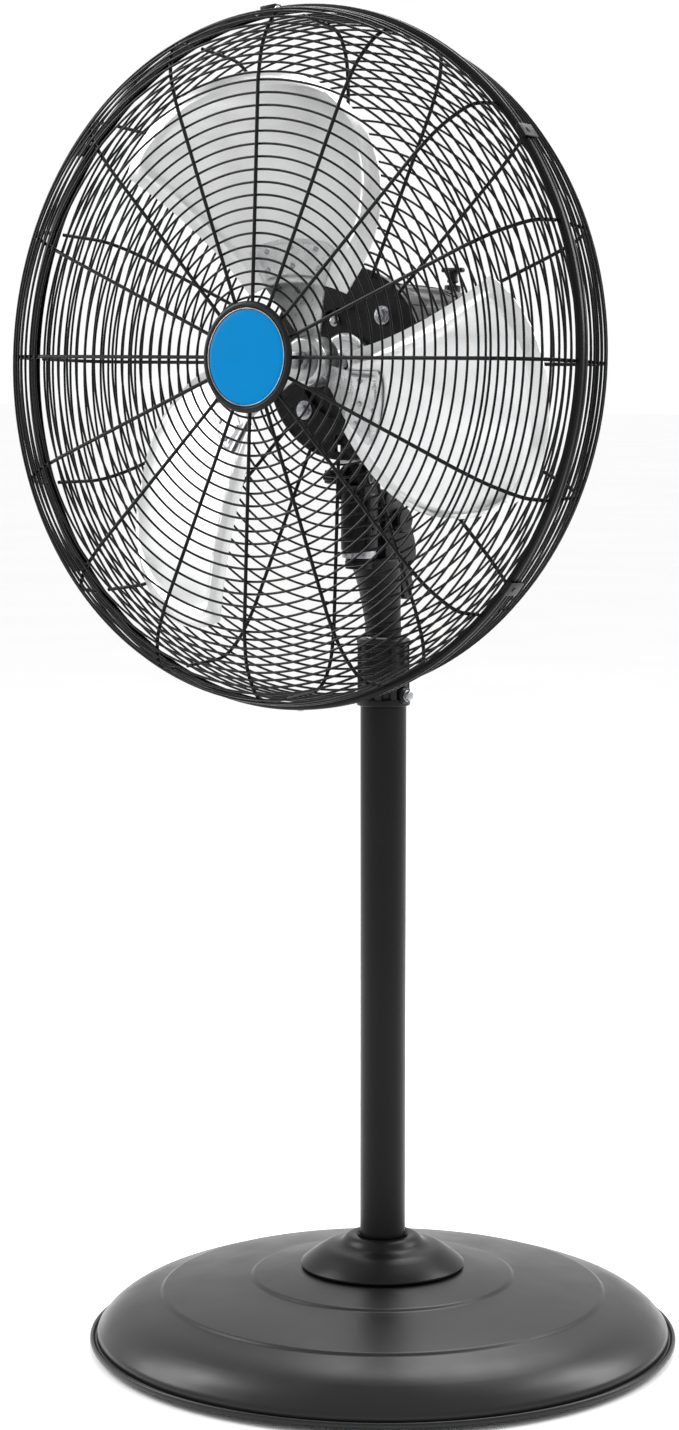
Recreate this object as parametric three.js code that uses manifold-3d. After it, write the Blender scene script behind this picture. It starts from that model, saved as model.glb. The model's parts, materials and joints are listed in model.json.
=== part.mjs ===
// Pedestal fan: a round floor base, a height-adjustable pole, a swivelling and tilting head
// with a large wire guard, and a three-blade rotor driven by an enclosed motor.
// Millimetres, +Z up. The origin is on the floor under the middle of the base; the fan blows towards -Y.
import * as THREE from 'three';
import { mergeVertices } from 'three/addons/utils/BufferGeometryUtils.js';
import Module from 'manifold-3d';

const wasm = await Module();
wasm.setup();

// ---- driving dimensions ----
const gap = 0.3;
const round = 28;
const fine = 44;

const baseRadius = 330;
const padHeight = 9.2;
const padRadius = 18;
const padCircle = 290;
const poleRadius = 25.4;
const poleBottom = 104;
const poleTop = 724;
const poleWall = 2;

const collarBottom = 722;
const collarTop = 797;
const collarRadius = 28.5;
const boreRadius = 19.6;
const innerRadius = 19;
const innerLength = 430;

const stemTop = 884;
const swivelForward = 44.5;
const swivelRadius = 20;
const swivelBottom = 895;
const tiltHeight = 974;
const restTiltDegrees = 2.556;

const axisAboveTilt = 122.3;
const bandBehindTilt = -126.1;
const bandRadius = 369;
const bandWidth = 12;
const faceFront = 66;
const faceRear = -88;
const wallJoint = 286;
const motorRadius = 97;
const knobBack = -290;
const ribCount = 16;
const ribWidth = 3.6;
const wireRadius = 1.9;
const bladeRoot = 82;
const bladeTip = 322;
const bladeCount = 3;

// ---- finishes ----
const finish = (color, roughness, metalness) =>
  new THREE.MeshStandardMaterial({ color, roughness, metalness });
const powderCoat = finish(0x1b1c1e, 0.45, 0.1);
const blackCasting = finish(0x222325, 0.55, 0.2);
const blackPlastic = finish(0x18181a, 0.5, 0);
const rubber = finish(0x101010, 0.9, 0);
const aluminium = finish(0xc9ccd0, 0.32, 0.9);
const zinc = finish(0xb9bcc0, 0.35, 0.9);
const steelTube = finish(0x9b9ea2, 0.3, 0.9);
const concrete = finish(0x8a8782, 0.9, 0);
const badgeBlue = finish(0x0088cc, 0.3, 0);

// ---- solids ----
function solid(geometry) {
  const bare = geometry.index ? geometry.clone() : mergeVertices(geometry);
  bare.deleteAttribute('normal');
  bare.deleteAttribute('uv');
  const merged = mergeVertices(bare, 1e-4);
  const vertProperties = Float32Array.from(merged.attributes.position.array);
  const triVerts = Uint32Array.from(merged.index.array);
  return new wasm.Manifold(new wasm.Mesh({ numProp: 3, vertProperties, triVerts }));
}

function toGeometry(body) {
  const mesh = body.getMesh();
  const geometry = new THREE.BufferGeometry();
  geometry.setAttribute('position', new THREE.BufferAttribute(Float32Array.from(mesh.vertProperties), 3));
  geometry.setIndex(new THREE.BufferAttribute(Uint32Array.from(mesh.triVerts), 1));
  geometry.computeVertexNormals();
  return geometry;
}

function join(first, ...others) {
  return toGeometry(others.reduce((body, other) => body.add(solid(other)), solid(first)));
}

function cut(first, ...others) {
  return toGeometry(others.reduce((body, other) => body.subtract(solid(other)), solid(first)));
}

// A turned piece about Z from [radius, height] points, listed upwards on the outside.
function turned(points, segments = round) {
  const profile = points.map(([radius, height]) => new THREE.Vector2(radius, height));
  return new THREE.LatheGeometry(profile, segments).rotateX(Math.PI / 2);
}

// A closed ring about Z: the profile goes round anticlockwise and ends where it starts.
function ring(points, segments = round) {
  return turned([...points, points[0]], segments);
}

function tube(inner, outer, bottom, top, segments = round) {
  return ring([[inner, bottom], [outer, bottom], [outer, top], [inner, top]], segments);
}

function rod(radius, bottom, top, segments = 16) {
  return turned([[0, bottom], [radius, bottom], [radius, top], [0, top]], segments);
}

function box(x, y, z, cx = 0, cy = 0, cz = 0) {
  return new THREE.BoxGeometry(x, y, z).translate(cx, cy, cz);
}

// A plate in the Y-Z plane, centred on X.
function sidePlate(outline, thickness) {
  const shape = new THREE.Shape(outline.map(([y, z]) => new THREE.Vector2(y, z)));
  const plate = new THREE.ExtrudeGeometry(shape, { depth: thickness, bevelEnabled: false, curveSegments: 8 });
  return plate.translate(0, 0, -thickness / 2).rotateX(Math.PI / 2).rotateZ(Math.PI / 2);
}

// A knob turned about X: fine teeth round a short drum with a rounded face.
function toothedKnob(radius, from, to, teeth) {
  const shape = new THREE.Shape();
  for (let i = 0; i < teeth * 2; i += 1) {
    const angle = Math.PI * i / teeth;
    const reach = i % 2 ? radius : radius * 0.92;
    shape[i ? 'lineTo' : 'moveTo'](reach * Math.cos(angle), reach * Math.sin(angle));
  }
  const drum = new THREE.ExtrudeGeometry(shape, { depth: to - from, bevelEnabled: false });
  return drum.translate(0, 0, from).rotateY(Math.PI / 2);
}

const part = new THREE.Group();

function add(name, geometry, material, parent = part) {
  const mesh = new THREE.Mesh(geometry, material);
  mesh.name = name;
  parent.add(mesh);
  return mesh;
}

// ---- base ----
const coverProfile = [[baseRadius, 6], [baseRadius, 12], [324, 14], [322, 19], [308, 35.5], [284, 50],
  [250, 59.5], [246, 62.5],
  [148, 76.5], [144, 79.5], [30, 90]];

function addBase() {
  const underside = [[30, 86.8], [144, 73], [248, 56], [284, 46.4], [306, 32], [319, 17], [321, 6]];
  add('base_cover', ring([...coverProfile, ...underside], fine), powderCoat);
  const ballast = [[36, 30], [40, 9.5], [300, 9.5], [300, 30], [282, 42], [240, 53], [60, 66], [36, 66]];
  add('base_weight', ring(ballast), concrete);
  for (let i = 0; i < 4; i += 1) {
    const angle = Math.PI / 4 + Math.PI / 2 * i;
    const mesh = add(`foot_pad_${i + 1}`, rod(padRadius, 0, padHeight), rubber);
    mesh.position.set(padCircle * Math.cos(angle), padCircle * Math.sin(angle), 0);
  }
  const flange = [[poleRadius + gap, 90.6], [92, 84.9], [92, 95], [90, 98], [70, 101], [68, 111], [42, 116],
    [39, 124], [poleRadius + gap, 124]];
  add('pole_flange', ring(flange), powderCoat);
}

// ---- pole and height clamp ----
function addPole() {
  add('outer_pole', tube(poleRadius - poleWall, poleRadius, poleBottom, poleTop - 2.3), powderCoat);
  const grip = new THREE.Shape();
  const ribs = 10;
  for (let i = 0; i < ribs; i += 1) {
    const centre = 2 * Math.PI * i / ribs;
    const half = Math.PI / ribs;
    const edges = [[-half, 27], [-half * 0.36, 27], [-half * 0.3, collarRadius], [half * 0.3, collarRadius],
      [half * 0.36, 27]];
    edges.forEach(([turn, radius], k) => {
      const step = i + k ? 'lineTo' : 'moveTo';
      grip[step](radius * Math.cos(centre + turn), radius * Math.sin(centre + turn));
    });
  }
  const gripLength = collarTop - collarBottom - 12;
  const sleeve = new THREE.ExtrudeGeometry(grip, { depth: gripLength, bevelEnabled: false });
  sleeve.translate(0, 0, collarBottom + 6);
  const body = join(sleeve, rod(29.5, collarBottom, collarBottom + 6.5),
    rod(29.5, collarTop - 6.5, collarTop),
    box(12, 15, 17, 25.5, 0, collarBottom + 12));
  const bore = cut(body, rod(boreRadius, collarBottom + 20, collarTop + 5),
    rod(poleRadius + gap, collarBottom - 5, collarBottom + 20.01),
    rod(3.3, 15, 40).rotateY(Math.PI / 2).translate(0, 0, collarBottom + 12));
  add('clamp_collar', bore, blackPlastic);
  const bolt = join(rod(3, 26.2, 36), rod(8, 31.9, 39, 6)).rotateY(Math.PI / 2);
  add('clamp_bolt', bolt, zinc).position.set(0, 0, collarBottom + 12);
}

// ---- parts that ride up and down ----
function addStem() {
  const tubeBottom = collarTop - innerLength;
  add('inner_tube', tube(innerRadius - 2, innerRadius, tubeBottom, collarTop + 1, 32), steelTube);
  const levels = [[collarTop + 1.4, 0, 19.5], [825, -3, 21], [855, -9, 24], [876, -15, 27],
    [stemTop - 2, -18, 27.5],
    [stemTop, -18, 25.5]];
  const sides = 32;
  const points = [];
  const faces = [];
  levels.forEach(([z, y, radius]) => {
    for (let i = 0; i < sides; i += 1) {
      const angle = 2 * Math.PI * i / sides;
      points.push(radius * Math.cos(angle), y + radius * Math.sin(angle), z);
    }
  });
  for (let k = 0; k < levels.length - 1; k += 1) {
    for (let i = 0; i < sides; i += 1) {
      const a = k * sides + i;
      const b = k * sides + (i + 1) % sides;
      faces.push(a, b, b + sides, a, b + sides, a + sides);
    }
  }
  const last = (levels.length - 1) * sides;
  for (let i = 1; i < sides - 1; i += 1) {
    faces.push(0, i + 1, i, last, last + i, last + i + 1);
  }
  const loft = new THREE.BufferGeometry();
  loft.setAttribute('position', new THREE.Float32BufferAttribute(points, 3));
  loft.setIndex(faces);
  const nose = rod(19, stemTop - 16, stemTop, 32).translate(0, -swivelForward, 0);
  const bridge = box(34, 30, 16, 0, -32, stemTop - 8);
  const pivotPost = rod(9, stemTop - 2, 950).translate(0, -swivelForward, 0);
  add('stem', join(loft, nose, bridge, pivotPost), blackCasting);
  const washer = tube(9.4, 14, stemTop + 3.2, swivelBottom - gap, 32);
  add('pivot_washer', washer.translate(0, -swivelForward, 0), zinc);
  const thrust = tube(9.4, 12, stemTop + gap, stemTop + 2.9, 32);
  add('thrust_ring', thrust.translate(0, -swivelForward, 0), blackCasting);
}

function addSwitchBox() {
  const outline = [[20, 838], [28, 839], [36, 846], [36, 861], [31, 868], [31, 874], [42, 880], [43, 892],
    [40, 905], [34, 918], [24, 936], [14, 950], [4, 959], [-6, 960], [-12, 955], [-14, 940],
    [-14, stemTop + gap], [12.8, stemTop + gap], [13.4, 876], [16.2, 855]];
  const body = sidePlate(outline, 26);
  const bore = rod(3.6, 8, 20).rotateY(Math.PI / 2).translate(0, 10, 926);
  const socket = rod(7.2, 28, 50).rotateX(-Math.PI / 2).translate(0, 0, 853);
  add('switch_box', cut(body, bore, socket), blackPlastic);
  const knob = join(toothedKnob(14, 13.4, 24, 18), rod(3.3, 9, 13.6).rotateY(Math.PI / 2),
    box(1.6, 2, 10, 24.4, 0, 7));
  add('speed_knob', knob, blackPlastic).position.set(0, 10, 926);
  const gland = join(rod(6.9, 28.3, 38), tube(4.5, 8.5, 36.5, 46)).rotateX(-Math.PI / 2);
  add('cable_gland', gland, blackPlastic).position.set(0, 0, 853);
}

// ---- oscillating housing ----
function addSwivel(parent) {
  const forkHalf = 9;
  const body = rod(swivelRadius, swivelBottom, tiltHeight - 0.01);
  const knuckle = rod(9, -18, 18, 32).rotateY(Math.PI / 2).translate(0, 0, tiltHeight);
  const slot = box(forkHalf * 2, 60, 40, 0, 0, tiltHeight + 4);
  const pivotHole = rod(9.4, swivelBottom - 1, 951);
  const pinHole = rod(4.4, -30, 30).rotateY(Math.PI / 2).translate(0, 0, tiltHeight);
  const boss = rod(7, 15, 24).rotateY(Math.PI / 2).translate(0, 0, 925);
  const cutBody = cut(join(body, knuckle, boss), slot, pivotHole, pinHole);
  add('swivel_housing', cutBody, blackCasting, parent);
}

// ---- tilting head: the head group's origin is on the tilt axis ----
function addNeck(head) {
  const tongue = join(rod(9, -8.7, 8.7, 32).rotateY(Math.PI / 2), box(17.4, 17, 14, 0, 0, 7));
  const block = join(tongue, box(42, 32, 15, 0, 0, 17.5));
  const hole = rod(4.4, -20, 20).rotateY(Math.PI / 2);
  const bell = rod(motorRadius + 0.6, -40, 40, round).rotateX(Math.PI / 2).translate(0, 0, axisAboveTilt);
  add('neck_block', cut(block, hole, bell), aluminium, head);
  const bolt = join(rod(4, -26, 25), rod(7.5, 20.4, 26, 6)).rotateY(Math.PI / 2);
  add('tilt_bolt', bolt, zinc, head);
}

function addTiltKnob(head) {
  const hub = rod(5, -46, -26.4).rotateY(Math.PI / 2);
  add('tilt_knob', join(hub, toothedKnob(8, -44, -31, 8)), blackPlastic, head);
}

// ---- everything on the fan axis: +Z is forward here, +Y is up, 0 is the middle of the guard band ----
function addMotor(fan) {
  const bell = [[0, -141], [motorRadius - 3, -141], [motorRadius, -138], [motorRadius, -106],
    [motorRadius - 2, -101], [84, -98.5], [0, -98.5]];
  add('motor_bell', turned(bell), blackCasting, fan);
  const fins = 24;
  const finned = new THREE.Shape();
  for (let i = 0; i < fins; i += 1) {
    const centre = 2 * Math.PI * i / fins;
    [[-0.085, 87], [-0.05, 87], [-0.045, 91], [0.045, 91], [0.05, 87]].forEach(([turn, radius], k) => {
      const step = i + k ? 'lineTo' : 'moveTo';
      finned[step](radius * Math.cos(centre + turn), radius * Math.sin(centre + turn));
    });
  }
  const casing = new THREE.ExtrudeGeometry(finned, { depth: 88, bevelEnabled: false });
  casing.translate(0, 0, -229.4);
  add('motor_casing', casing, blackCasting, fan);
  const gearcase = [[0, -312], [60, -310], [78, -304], [86, -292], [89, -276], [89, -229.7], [0, -229.7]];
  const knobGuide = rod(9, 70, 95).rotateX(-Math.PI / 2).translate(0, 0, knobBack);
  const bore = rod(4.6, 66, 110).rotateX(-Math.PI / 2).translate(0, 0, knobBack);
  add('gear_case', cut(join(turned(gearcase), knobGuide), bore), blackCasting, fan);
  const boss = ring([[8, -98.2], [33, -98.2], [33, -92], [30, -90], [12, -90], [8, -92]], 24);
  add('bearing_boss', boss, aluminium, fan);
}

function addOscillationKnob(fan) {
  const stalk = rod(4.2, 70, 100);
  const head = rod(6, 95.4, 110);
  const bar = box(29, 8, 5, 0, 0, 112);
  const knob = join(stalk, head, bar).rotateX(-Math.PI / 2).translate(0, 0, knobBack);
  add('oscillation_knob', knob, blackPlastic, fan);
}

function addGuardMount(fan) {
  const plate = ring([[60, -98.1], [104, -98.1], [104, -92], [60, -92]]);
  const holes = [];
  for (let i = 0; i < 4; i += 1) {
    const angle = Math.PI / 4 + Math.PI / 2 * i;
    holes.push(rod(4.3, -110, -80).translate(72 * Math.cos(angle), 72 * Math.sin(angle), 0));
  }
  add('guard_plate', cut(plate, ...holes), blackCasting, fan);
  for (let i = 0; i < 4; i += 1) {
    const angle = Math.PI / 4 + Math.PI / 2 * i;
    const boltBody = join(rod(4, -98.1, -88), rod(10, -91.7, -90), rod(6.5, -90.2, -84, 6));
    const bolt = add(`guard_bolt_${i + 1}`, boltBody, zinc, fan);
    bolt.position.set(72 * Math.cos(angle), 72 * Math.sin(angle), 0);
    const turn = angle - 0.42;
    const screw = add(`motor_screw_${i + 1}`, join(rod(6, -98.2, -95.5), rod(4.2, -96, -93, 6)), zinc, fan);
    screw.position.set(49 * Math.cos(turn), 49 * Math.sin(turn), 0);
  }
}

// A flat wire grille: rings welded behind straight radial ribs.
function grilleFace(ringRadii, ribInner, plane, side) {
  const wires = ringRadii.map((radius) => {
    return new THREE.TorusGeometry(radius, wireRadius, 4, 2 * ribCount).translate(0, 0, plane - side * 2.6);
  });
  const ribs = Array.from({ length: ribCount }, (unused, i) => {
    const bar = box(wallJoint - ribInner, ribWidth, ribWidth, (wallJoint + ribInner) / 2, 0, plane);
    return bar.rotateZ(2 * Math.PI * i / ribCount);
  });
  return join(...wires, ...ribs);
}

// A flat bar bent along [radius, height] points, standing in a plane through the fan's axis.
function bentRib(path, width) {
  const half = width / 2;
  const edge = path.map(([r, z], k) => {
    const before = path[Math.max(k - 1, 0)];
    const after = path[Math.min(k + 1, path.length - 1)];
    const length = Math.hypot(after[0] - before[0], after[1] - before[1]);
    const across = [(after[1] - before[1]) / length * half, (before[0] - after[0]) / length * half];
    return { outer: [r + across[0], z + across[1]], inner: [r - across[0], z - across[1]] };
  });
  const outline = [...edge.map((side) => side.inner), ...edge.map((side) => side.outer).reverse()];
  const shape = new THREE.Shape(outline.map(([r, z]) => new THREE.Vector2(r, z)));
  const bar = new THREE.ExtrudeGeometry(shape, { depth: width, bevelEnabled: false });
  return bar.translate(0, 0, -half).rotateX(Math.PI / 2);
}

// The grille's side: ribs that curve from the flat face round to the band, tied by one hoop.
function grilleWall(path, hoop) {
  const ribs = Array.from({ length: ribCount }, (unused, i) => {
    return bentRib(path, ribWidth).rotateZ(2 * Math.PI * i / ribCount);
  });
  return join(new THREE.TorusGeometry(hoop[0], wireRadius, 4, 2 * ribCount).translate(0, 0, hoop[1]), ...ribs);
}

function addGuards(fan) {
  const half = bandWidth / 2;
  add('front_guard_face', grilleFace([56, 132, 207, 282], 52, faceFront, 1), powderCoat, fan);
  const frontPath = [[wallJoint + gap, faceFront], [320, 61], [345, 50.5], [358, 40], [363, 28],
    [365.3, half + 2.2]];
  add('front_guard_wall', grilleWall(frontPath, [349.9, 43.2]), powderCoat, fan);
  add('rear_guard_face', grilleFace([102, 192, 282], 98, faceRear, -1), powderCoat, fan);
  const rearPath = [[wallJoint + gap, faceRear], [318, -84.5], [342, -75], [353, -66], [357.5, -55],
    [365.3, -half - 2.2]];
  add('rear_guard_wall', grilleWall(rearPath, [345.9, -68.5]), powderCoat, fan);
  const band = ring([[bandRadius - 2, -half + 1.5], [bandRadius - 2, half - 1.5], [361, half - 1.5],
    [361, half],
    [bandRadius, half], [bandRadius, -half], [361, -half], [361, -half + 1.5]].reverse(), fine);
  add('guard_band', band, powderCoat, fan);
}

function addBandFittings(fan) {
  const seam = 96 * Math.PI / 180;
  const holder = new THREE.Group();
  holder.rotation.z = seam - Math.PI / 2;
  fan.add(holder);
  const plateSide = box(30, 2, 9, 0, bandRadius + 1.4, 0);
  add('band_joint_plate', plateSide, powderCoat, holder);
  [-1, 1].forEach((side, i) => {
    const screw = rod(3.6, 0, 2.6).rotateX(-Math.PI / 2).translate(side * 10, bandRadius + 2.7, 0);
    add(`band_joint_screw_${i + 1}`, screw, zinc, holder);
  });
  [38, 142, 218, 322].forEach((degrees, i) => {
    const clipHolder = new THREE.Group();
    clipHolder.rotation.z = (degrees - 90) * Math.PI / 180;
    fan.add(clipHolder);
    const outer = box(16, 5.4, 24, 0, bandRadius + 0.2, 0);
    const inner = box(20, 3, bandWidth + 0.7, 0, bandRadius - 1.1, 0);
    add(`guard_clip_${i + 1}`, cut(outer, inner), blackPlastic, clipHolder);
  });
}

function addBadge(fan) {
  const dish = [[0, faceFront + 2.1], [50.5, faceFront + 2.1], [56, faceFront + 2.1], [58, faceFront + 4],
    [58, faceFront + 7], [55.5, faceFront + 9.5], [51.5, faceFront + 9.5], [50.5, faceFront + 7],
    [0, faceFront + 7]];
  add('badge_bezel', turned(dish), blackPlastic, fan);
  const disc = [[0, faceFront + 7.3], [49.5, faceFront + 7.3], [49.5, faceFront + 8.6], [48, faceFront + 9.2],
    [0, faceFront + 9.8]];
  add('badge_disc', turned(disc), badgeBlue, fan);
}

// ---- rotor ----
// A closed sheet between two offsets of one surface; surface(u, v) gives [x, y, z] for u, v in 0..1.
function sheet(surface, along, across, back, front) {
  const points = [];
  const indices = [];
  const layer = (across + 1) * (along + 1);
  [back, front].forEach((offset) => {
    for (let i = 0; i <= along; i += 1) {
      for (let j = 0; j <= across; j += 1) {
        const [x, y, z] = surface(i / along, j / across);
        points.push(x, y, z + offset);
      }
    }
  });
  const at = (i, j) => i * (across + 1) + j;
  for (let i = 0; i < along; i += 1) {
    for (let j = 0; j < across; j += 1) {
      const [a, b, c, d] = [at(i, j), at(i, j + 1), at(i + 1, j + 1), at(i + 1, j)];
      indices.push(a, b, c, a, c, d);
      indices.push(a + layer, c + layer, b + layer, a + layer, d + layer, c + layer);
    }
  }
  const rim = [];
  for (let j = 0; j < across; j += 1) {
    rim.push(at(0, j));
  }
  for (let i = 0; i < along; i += 1) {
    rim.push(at(i, across));
  }
  for (let j = across; j > 0; j -= 1) {
    rim.push(at(along, j));
  }
  for (let i = along; i > 0; i -= 1) {
    rim.push(at(i, 0));
  }
  rim.forEach((a, k) => {
    const b = rim[(k + 1) % rim.length];
    indices.push(a, b + layer, b, a, a + layer, b + layer);
  });
  const geometry = new THREE.BufferGeometry();
  geometry.setAttribute('position', new THREE.Float32BufferAttribute(points, 3));
  geometry.setIndex(indices);
  return geometry;
}

// out: 0 at the root, 1 at the tip; across: 0 at the rear edge, 1 at the forward edge.
function bladePoint(out, across) {
  const rearEdge = 60 + 30 * Math.pow(out, 2.1);
  const forwardEdge = 125 + 12 * Math.pow(out, 0.8);
  const reach = bladeTip - bladeRoot - 37 * Math.pow(Math.abs(2 * across - 1), 2.4);
  const angle = (rearEdge + (forwardEdge - rearEdge) * across) * Math.PI / 180;
  const radius = bladeRoot + reach * out;
  const pitch = -48 + 94 * across + 8 * Math.sin(Math.PI * across);
  return [radius * Math.cos(angle), radius * Math.sin(angle), -14 + pitch * (0.55 + 0.45 * out)];
}

function addRotor(fan) {
  add('shaft', rod(7, -98.1, -18.2), steelTube, fan);
  const hub = tube(7.3, 27, -56, -18, 32);
  const arms = [];
  for (let i = 0; i < bladeCount; i += 1) {
    arms.push(sheet(spiderPoint, 3, 5, -5, -2.4).rotateZ(2 * Math.PI * i / bladeCount));
  }
  add('spider', join(hub, ...arms), aluminium, fan);
  for (let i = 0; i < bladeCount; i += 1) {
    const blade = add(`blade_${i + 1}`, sheet(bladePoint, 7, 10, -1, 1), aluminium, fan);
    blade.rotation.z = -2 * Math.PI * i / bladeCount;
  }
  add('hub_nut', turned([[0, -17.7], [11, -17.7], [11, -9.7], [0, -9.7]], 6), zinc, fan);
}

// A twisted plate from the hub out behind the blade root, following the blade's own surface.
function spiderPoint(out, across) {
  const [x, y, z] = bladePoint(0.16 * out, 0.22 + 0.56 * across);
  const onHub = out === 0;
  const reach = onHub ? 0.27 : 1;
  return [x * reach, y * reach, onHub ? -37 + (z + 14) * 0.3 : z];
}

addBase();
addPole();
addStem();
addSwitchBox();

const swivel = new THREE.Group();
swivel.position.set(0, -swivelForward, 0);
part.add(swivel);
addSwivel(swivel);

const head = new THREE.Group();
head.position.set(0, -swivelForward, tiltHeight);
head.rotation.x = -restTiltDegrees * Math.PI / 180;
part.add(head);
addNeck(head);
addTiltKnob(head);

const fan = new THREE.Group();
fan.position.set(0, bandBehindTilt, axisAboveTilt);
fan.rotation.x = Math.PI / 2;
head.add(fan);
addMotor(fan);
addOscillationKnob(fan);
addGuardMount(fan);
addGuards(fan);
addBandFittings(fan);
addBadge(fan);
addRotor(fan);

export default part;
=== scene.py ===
import json
import math
import bmesh
import bpy
from mathutils import Matrix, Vector


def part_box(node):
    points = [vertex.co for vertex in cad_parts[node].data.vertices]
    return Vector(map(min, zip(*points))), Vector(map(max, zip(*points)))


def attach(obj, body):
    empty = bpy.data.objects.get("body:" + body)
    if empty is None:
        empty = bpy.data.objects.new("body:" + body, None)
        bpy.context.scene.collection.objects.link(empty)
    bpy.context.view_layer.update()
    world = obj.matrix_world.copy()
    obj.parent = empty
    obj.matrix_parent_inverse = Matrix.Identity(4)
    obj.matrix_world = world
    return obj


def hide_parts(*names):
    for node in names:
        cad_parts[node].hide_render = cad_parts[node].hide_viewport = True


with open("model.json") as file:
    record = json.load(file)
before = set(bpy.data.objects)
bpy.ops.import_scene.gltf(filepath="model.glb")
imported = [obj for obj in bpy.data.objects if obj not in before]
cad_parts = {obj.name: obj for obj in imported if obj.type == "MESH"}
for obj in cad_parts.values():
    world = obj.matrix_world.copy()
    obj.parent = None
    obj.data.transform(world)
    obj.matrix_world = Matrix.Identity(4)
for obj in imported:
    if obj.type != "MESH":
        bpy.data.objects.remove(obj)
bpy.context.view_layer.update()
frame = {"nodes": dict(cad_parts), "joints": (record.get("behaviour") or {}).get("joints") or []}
print("frame loaded with", len(frame["nodes"]), "nodes")

mm = 0.001
fullTurn = 2 * math.pi


def jointNamed(name):
    return next(joint for joint in frame["joints"] if joint["name"] == name)


def axesAt(origin, x, y, z):
    turn = Matrix((x, y, z)).transposed().to_4x4()
    return Matrix.Translation(origin) @ turn @ Matrix.Scale(mm, 4)


spin = jointNamed("rotor_spin")
right = Vector((1, 0, 0))
ahead = Vector(spin["axis"]).normalized()
upward = ahead.cross(right)
standPlace = Matrix.Scale(mm, 4)
fanPlace = axesAt(Vector(spin["pos_m"]), right, upward, ahead)
headPlace = axesAt(Vector(jointNamed("head_tilt")["pos_m"]), right, -ahead, upward)
pivotSpot = Vector(jointNamed("oscillation")["pos_m"])
swivelPlace = Matrix.Translation((pivotSpot.x, pivotSpot.y, 0)) @ Matrix.Scale(mm, 4)
bandRadius = (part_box("guard_band")[1].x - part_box("guard_band")[0].x) / 2 / mm


def heights(node):
    low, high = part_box(node)
    return low.z / mm, high.z / mm


# a part is (points, faces), in millimetres
def merged(*parts):
    points, faces = [], []
    for somePoints, someFaces in parts:
        start = len(points)
        points += somePoints
        faces += [[start + i for i in face] for face in someFaces]
    return points, faces


def moved(part, matrix):
    return [matrix @ Vector(point) for point in part[0]], part[1]


def shifted(part, x=0, y=0, z=0):
    return moved(part, Matrix.Translation((x, y, z)))


def spun(part, angle, axis="Z"):
    return moved(part, Matrix.Rotation(angle, 4, axis))


def around(part, count, start=0.0):
    return merged(*[spun(part, start + fullTurn * i / count) for i in range(count)])


def rounded(corners, closed=True, steps=5):
    # each corner is (a, b) or (a, b, cut): the corner is rounded off from `cut` before it to `cut` after it
    spots = [Vector(corner[:2]) for corner in corners]
    cuts = [corner[2] if len(corner) > 2 else 0 for corner in corners]
    outline = []
    for i, spot in enumerate(spots):
        isEnd = not closed and i in (0, len(spots) - 1)
        if isEnd or cuts[i] == 0:
            outline.append(spot)
            continue
        before = spots[i - 1] - spot
        after = spots[(i + 1) % len(spots)] - spot
        first = spot + before.normalized() * min(cuts[i], before.length * 0.49)
        last = spot + after.normalized() * min(cuts[i], after.length * 0.49)
        for k in range(steps + 1):
            t = k / steps
            outline.append(first * (1 - t) ** 2 + spot * 2 * t * (1 - t) + last * t * t)
    return [(spot.x, spot.y) for spot in outline]


def lathe(profile, turns=96, closed=True):
    points, rings = [], []
    for radius, height in profile:
        if radius < 1e-6:
            rings.append([len(points)] * turns)
            points.append(Vector((0, 0, height)))
            continue
        rings.append(list(range(len(points), len(points) + turns)))
        for i in range(turns):
            angle = fullTurn * i / turns
            points.append(Vector((radius * math.cos(angle), radius * math.sin(angle), height)))
    faces = []
    for k in range(len(rings) if closed else len(rings) - 1):
        low, high = rings[k], rings[(k + 1) % len(rings)]
        for i in range(turns):
            j = (i + 1) % turns
            face = list(dict.fromkeys([low[i], low[j], high[j], high[i]]))
            if len(face) > 2:
                faces.append(face)
    return points, faces


def turnedPart(corners, turns=96, steps=5):
    return lathe(rounded(corners, closed=False, steps=steps), turns, closed=False)


def ringPart(corners, turns=96, steps=5):
    return lathe(rounded(corners, closed=True, steps=steps), turns)


def tubePart(radii, span, innerEdge, outerEdge, turns=96):
    inner, outer = radii
    low, high = span
    return ringPart([(inner, low, innerEdge), (outer, low, outerEdge), (outer, high, outerEdge),
                     (inner, high, innerEdge)], turns)


def wireRing(radius, height, wire, turns=168, sides=8):
    profile = []
    for i in range(sides):
        angle = fullTurn * i / sides
        profile.append((radius + wire * math.cos(angle), height + wire * math.sin(angle)))
    return lathe(profile, turns)


def sweep(path, wire, sides=10):
    path = [Vector(spot) for spot in path]
    points, faces = [], []
    side = None
    for k, spot in enumerate(path):
        along = (path[min(k + 1, len(path) - 1)] - path[max(k - 1, 0)]).normalized()
        side = along.orthogonal() if side is None else side - along * side.dot(along)
        side.normalize()
        other = along.cross(side)
        for i in range(sides):
            angle = fullTurn * i / sides
            points.append(spot + (side * math.cos(angle) + other * math.sin(angle)) * wire)
    for k in range(len(path) - 1):
        for i in range(sides):
            j = (i + 1) % sides
            faces.append([k * sides + i, k * sides + j, (k + 1) * sides + j, (k + 1) * sides + i])
    faces.append(list(range(sides))[::-1])
    faces.append([(len(path) - 1) * sides + i for i in range(sides)])
    return points, faces


def slab(outline, low, high):
    count = len(outline)
    points = [Vector((x, y, z)) for z in (low, high) for x, y in outline]
    faces = [list(range(count))[::-1], [count + i for i in range(count)]]
    faces += [[i, (i + 1) % count, count + (i + 1) % count, count + i] for i in range(count)]
    return points, faces


def block(x, y, z):
    return slab([(-x / 2, -y / 2), (x / 2, -y / 2), (x / 2, y / 2), (-x / 2, y / 2)], -z / 2, z / 2)


def hexagon(radius, low, high):
    outline = [(radius * math.cos(fullTurn * i / 6), radius * math.sin(fullTurn * i / 6)) for i in range(6)]
    return softened(slab(outline, low, high), radius * 0.09)


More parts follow.
